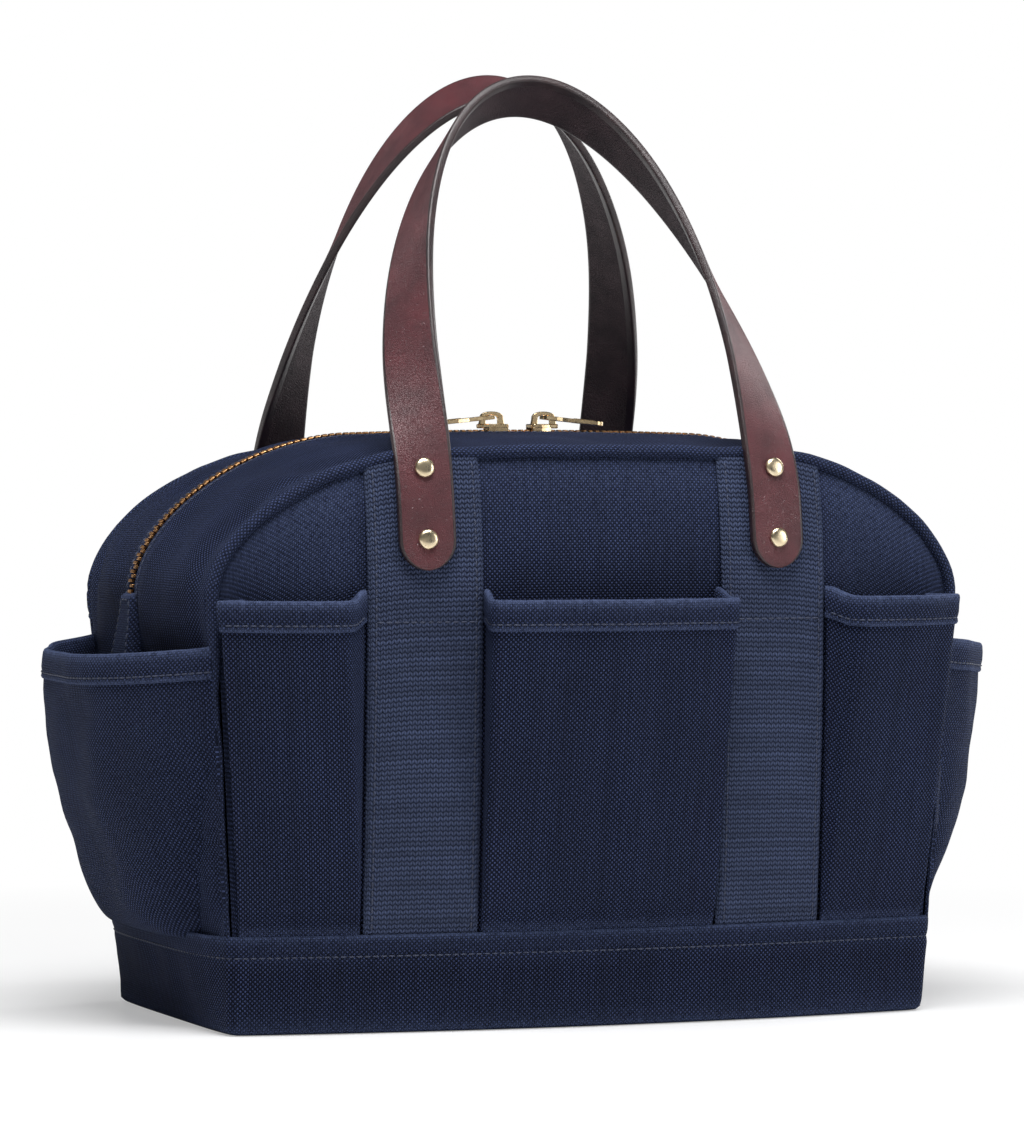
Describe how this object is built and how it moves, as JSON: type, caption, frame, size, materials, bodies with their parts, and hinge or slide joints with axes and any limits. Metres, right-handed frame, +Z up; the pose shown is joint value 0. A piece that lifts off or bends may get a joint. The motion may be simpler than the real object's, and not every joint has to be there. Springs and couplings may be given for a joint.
{
  "type": "garden tool bag",
  "caption": "Arched canvas garden tool bag with a two-way zip over the top, outside pockets on all four sides, webbing straps and riveted leather handles.",
  "frame": {"origin": "on the floor under the middle of the bag", "axes": "+X to the right along the bag's length seen from the front, +Y towards the back, +Z up"},
  "size_m": [0.43, 0.265, 0.4244],
  "materials": {
    "navy_canvas": "plain-weave duck canvas, navy, matt, slightly paler along seams and folds",
    "band_canvas": "doubled duck canvas, navy, matt",
    "webbing": "coarse cotton webbing, greyed blue, with raised ribs",
    "leather": "bridle leather, burgundy brown, satin grain side and rough dark flesh side",
    "brass": "polished solid brass",
    "zip_tape": "woven zip tape, dark navy",
    "zip_teeth": "antique brass teeth",
    "board": "stiff board lining"
  },
  "bodies": {
    "root": {"back_centre_pocket": "navy_canvas", "back_left_handle_tab": "leather", "back_left_lower_rivet": "brass", "back_left_lower_rivet_burr": "brass", "back_left_pocket": "navy_canvas", "back_left_upper_rivet": "brass", "back_left_upper_rivet_burr": "brass", "back_left_webbing": "webbing", "back_panel": "navy_canvas", "back_right_handle_tab": "leather", "back_right_lower_rivet": "brass", "back_right_lower_rivet_burr": "brass", "back_right_pocket": "navy_canvas", "back_right_upper_rivet": "brass", "back_right_upper_rivet_burr": "brass", "back_right_webbing": "webbing", "back_top_gusset": "navy_canvas", "base_band": "band_canvas", "base_board": "board", "bottom_panel": "band_canvas", "front_centre_pocket": "navy_canvas", "front_left_handle_tab": "leather", "front_left_lower_rivet": "brass", "front_left_lower_rivet_burr": "brass", "front_left_pocket": "navy_canvas", "front_left_upper_rivet": "brass", "front_left_upper_rivet_burr": "brass", "front_left_webbing": "webbing", "front_panel": "navy_canvas", "front_right_handle_tab": "leather", "front_right_lower_rivet": "brass", "front_right_lower_rivet_burr": "brass", "front_right_pocket": "navy_canvas", "front_right_upper_rivet": "brass", "front_right_upper_rivet_burr": "brass", "front_right_webbing": "webbing", "front_top_gusset": "navy_canvas", "left_end_gusset": "navy_canvas", "left_end_pocket": "navy_canvas", "left_zip_end_tab": "navy_canvas", "left_zip_end_tape": "zip_tape", "left_zip_end_teeth": "zip_teeth", "right_end_gusset": "navy_canvas", "right_end_pocket": "navy_canvas", "right_zip_end_tab": "navy_canvas", "right_zip_end_tape": "zip_tape", "right_zip_end_teeth": "zip_teeth"},
    "front_handle": {"front_handle": "leather"},
    "back_handle": {"back_handle": "leather"},
    "front_flap": {"front_flap": "navy_canvas", "zip_tape_front": "zip_tape", "zip_teeth_front": "zip_teeth"},
    "back_flap": {"back_flap": "navy_canvas", "zip_tape_back": "zip_tape", "zip_teeth_back": "zip_teeth"},
    "left_slider": {"left_slider": "brass"},
    "right_slider": {"right_slider": "brass"},
    "left_pull": {"left_pull": "brass"},
    "right_pull": {"right_pull": "brass"}
  },
  "joints": [
    {"name": "front_handle_swing", "type": "hinge", "parent": "root", "child": "front_handle", "pos_m": [0, -0.10483, 0.25274], "axis": [1, 0, 0], "range_deg": [-1.5, 130]},
    {"name": "back_handle_swing", "type": "hinge", "parent": "root", "child": "back_handle", "pos_m": [0, 0.10483, 0.25274], "axis": [-1, 0, 0], "range_deg": [-1.5, 130]},
    {"name": "front_flap_fold", "type": "hinge", "parent": "root", "child": "front_flap", "pos_m": [0, -0.086, 0.25018], "axis": [-1, 0, 0], "range_deg": [0, 78]},
    {"name": "back_flap_fold", "type": "hinge", "parent": "root", "child": "back_flap", "pos_m": [0, 0.086, 0.25018], "axis": [1, 0, 0], "range_deg": [0, 78]},
    {"name": "left_slider_run", "type": "slide", "parent": "root", "child": "left_slider", "axis": [-0.9989, 0, -0.0473], "range_m": [0, 0.09511]},
    {"name": "right_slider_run", "type": "slide", "parent": "root", "child": "right_slider", "axis": [0.9989, 0, -0.0473], "range_m": [0, 0.09511]},
    {"name": "left_pull_swing", "type": "hinge", "parent": "left_slider", "child": "left_pull", "pos_m": [-0.01255, 0, 0.26687], "axis": [0, 1, 0], "range_deg": [0, 105]},
    {"name": "right_pull_swing", "type": "hinge", "parent": "right_slider", "child": "right_pull", "pos_m": [0.01255, 0, 0.26687], "axis": [0, -1, 0], "range_deg": [0, 105]}
  ],
  "couplings": [
    {"joint": "back_flap_fold", "follows": "front_flap_fold", "ratio": 1},
    {"joint": "left_slider_run", "follows": "front_flap_fold", "m_per_rad": 0.069861},
    {"joint": "right_slider_run", "follows": "front_flap_fold", "m_per_rad": 0.069861}
  ]
}
